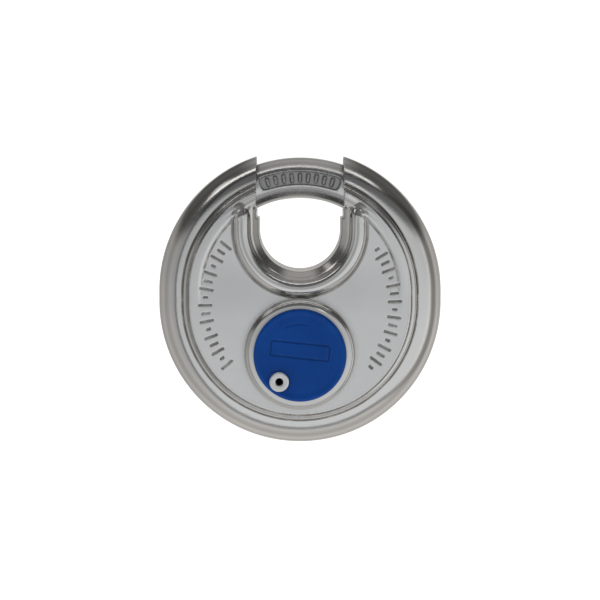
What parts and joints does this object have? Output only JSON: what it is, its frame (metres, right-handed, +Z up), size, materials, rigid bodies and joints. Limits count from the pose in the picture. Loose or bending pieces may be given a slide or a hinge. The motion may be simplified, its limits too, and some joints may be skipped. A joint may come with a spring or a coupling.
{
  "type": "disc padlock",
  "caption": "Round welded steel padlock with a sliding curved shackle, a swinging round keyway cover and a pin cylinder that drives the shackle through a small gear.",
  "frame": {"origin": "middle of the 10 mm shackle bar at its crown, where the bar crosses the eye", "axes": "+Z up as the padlock hangs, front with the keyway towards -Y, +X to the right seen from the front"},
  "size_m": [0.07, 0.0292, 0.071],
  "materials": {
    "body_steel": "pressed stainless sheet, satin face and polished rim",
    "shackle_steel": "polished hardened stainless bar",
    "bezel_steel": "mirror-polished ring",
    "cast_insert": "die-cast insert, as cast",
    "core_nickel": "nickel-plated cylinder housing",
    "brass_parts": "turned brass",
    "hard_steel": "hardened steel",
    "cover_plastic": "semi-gloss blue moulded plastic",
    "washer_plastic": "plain slip washer",
    "rivet_metal": "pale tubular rivet"
  },
  "bodies": {
    "lock_body": {"front_shell": "body_steel", "rear_shell": "body_steel", "inner_frame": "cast_insert", "core_housing": "core_nickel", "core_bezel": "bezel_steel", "chamber_cap": "brass_parts", "drill_guard_pins": "hard_steel", "rear_bearing_plate": "core_nickel", "core_screws": "hard_steel", "cover_washer": "washer_plastic", "cover_rivet": "rivet_metal", "pin_spring_1": "hard_steel", "pin_spring_2": "hard_steel", "pin_spring_3": "hard_steel", "pin_spring_4": "hard_steel", "pin_spring_5": "hard_steel"},
    "shackle": {"shackle": "shackle_steel"},
    "plug": {"plug": "brass_parts", "plug_face_plate": "core_nickel", "drive_pinion": "hard_steel", "plug_clip": "hard_steel"},
    "cover": {"keyway_cover": "cover_plastic"},
    "key_pin_1": {"key_pin_1": "brass_parts"},
    "key_pin_2": {"key_pin_2": "brass_parts"},
    "key_pin_3": {"key_pin_3": "brass_parts"},
    "key_pin_4": {"key_pin_4": "brass_parts"},
    "key_pin_5": {"key_pin_5": "brass_parts"},
    "driver_pin_1": {"driver_pin_1": "hard_steel"},
    "driver_pin_2": {"driver_pin_2": "hard_steel"},
    "driver_pin_3": {"driver_pin_3": "hard_steel"},
    "driver_pin_4": {"driver_pin_4": "hard_steel"},
    "driver_pin_5": {"driver_pin_5": "hard_steel"}
  },
  "joints": [
    {"name": "shackle_turn", "type": "hinge", "parent": "lock_body", "child": "shackle", "pos_m": [0, 0, -0.028], "axis": [0, -1, 0], "range_deg": [0, 57]},
    {"name": "plug_turn", "type": "hinge", "parent": "lock_body", "child": "plug", "pos_m": [0, 0, -0.0427], "axis": [0, -1, 0], "range_deg": [0, 135.38]},
    {"name": "cover_swing", "type": "hinge", "parent": "lock_body", "child": "cover", "pos_m": [-0.005, 0, -0.049], "axis": [0, -1, 0], "range_deg": [-175, 175]},
    {"name": "key_pin_1_slide", "type": "slide", "parent": "plug", "child": "key_pin_1", "axis": [0, 0, 1], "range_m": [-0.0033, 0]},
    {"name": "key_pin_2_slide", "type": "slide", "parent": "plug", "child": "key_pin_2", "axis": [0, 0, 1], "range_m": [-0.0021, 0]},
    {"name": "key_pin_3_slide", "type": "slide", "parent": "plug", "child": "key_pin_3", "axis": [0, 0, 1], "range_m": [-0.0027, 0]},
    {"name": "key_pin_4_slide", "type": "slide", "parent": "plug", "child": "key_pin_4", "axis": [0, 0, 1], "range_m": [-0.0017, 0]},
    {"name": "key_pin_5_slide", "type": "slide", "parent": "plug", "child": "key_pin_5", "axis": [0, 0, 1], "range_m": [-0.0029, 0]},
    {"name": "driver_pin_1_slide", "type": "slide", "parent": "lock_body", "child": "driver_pin_1", "axis": [0, 0, 1], "range_m": [0, 0.0012], "stiffness_N_per_m": 200, "deforming": ["pin_spring_1"]},
    {"name": "driver_pin_2_slide", "type": "slide", "parent": "lock_body", "child": "driver_pin_2", "axis": [0, 0, 1], "range_m": [0, 0.0012], "stiffness_N_per_m": 200, "deforming": ["pin_spring_2"]},
    {"name": "driver_pin_3_slide", "type": "slide", "parent": "lock_body", "child": "driver_pin_3", "axis": [0, 0, 1], "range_m": [0, 0.0012], "stiffness_N_per_m": 200, "deforming": ["pin_spring_3"]},
    {"name": "driver_pin_4_slide", "type": "slide", "parent": "lock_body", "child": "driver_pin_4", "axis": [0, 0, 1], "range_m": [0, 0.0012], "stiffness_N_per_m": 200, "deforming": ["pin_spring_4"]},
    {"name": "driver_pin_5_slide", "type": "slide", "parent": "lock_body", "child": "driver_pin_5", "axis": [0, 0, 1], "range_m": [0, 0.0012], "stiffness_N_per_m": 200, "deforming": ["pin_spring_5"]}
  ],
  "couplings": [
    {"joint": "plug_turn", "follows": "shackle_turn", "ratio": 2.375}
  ]
}
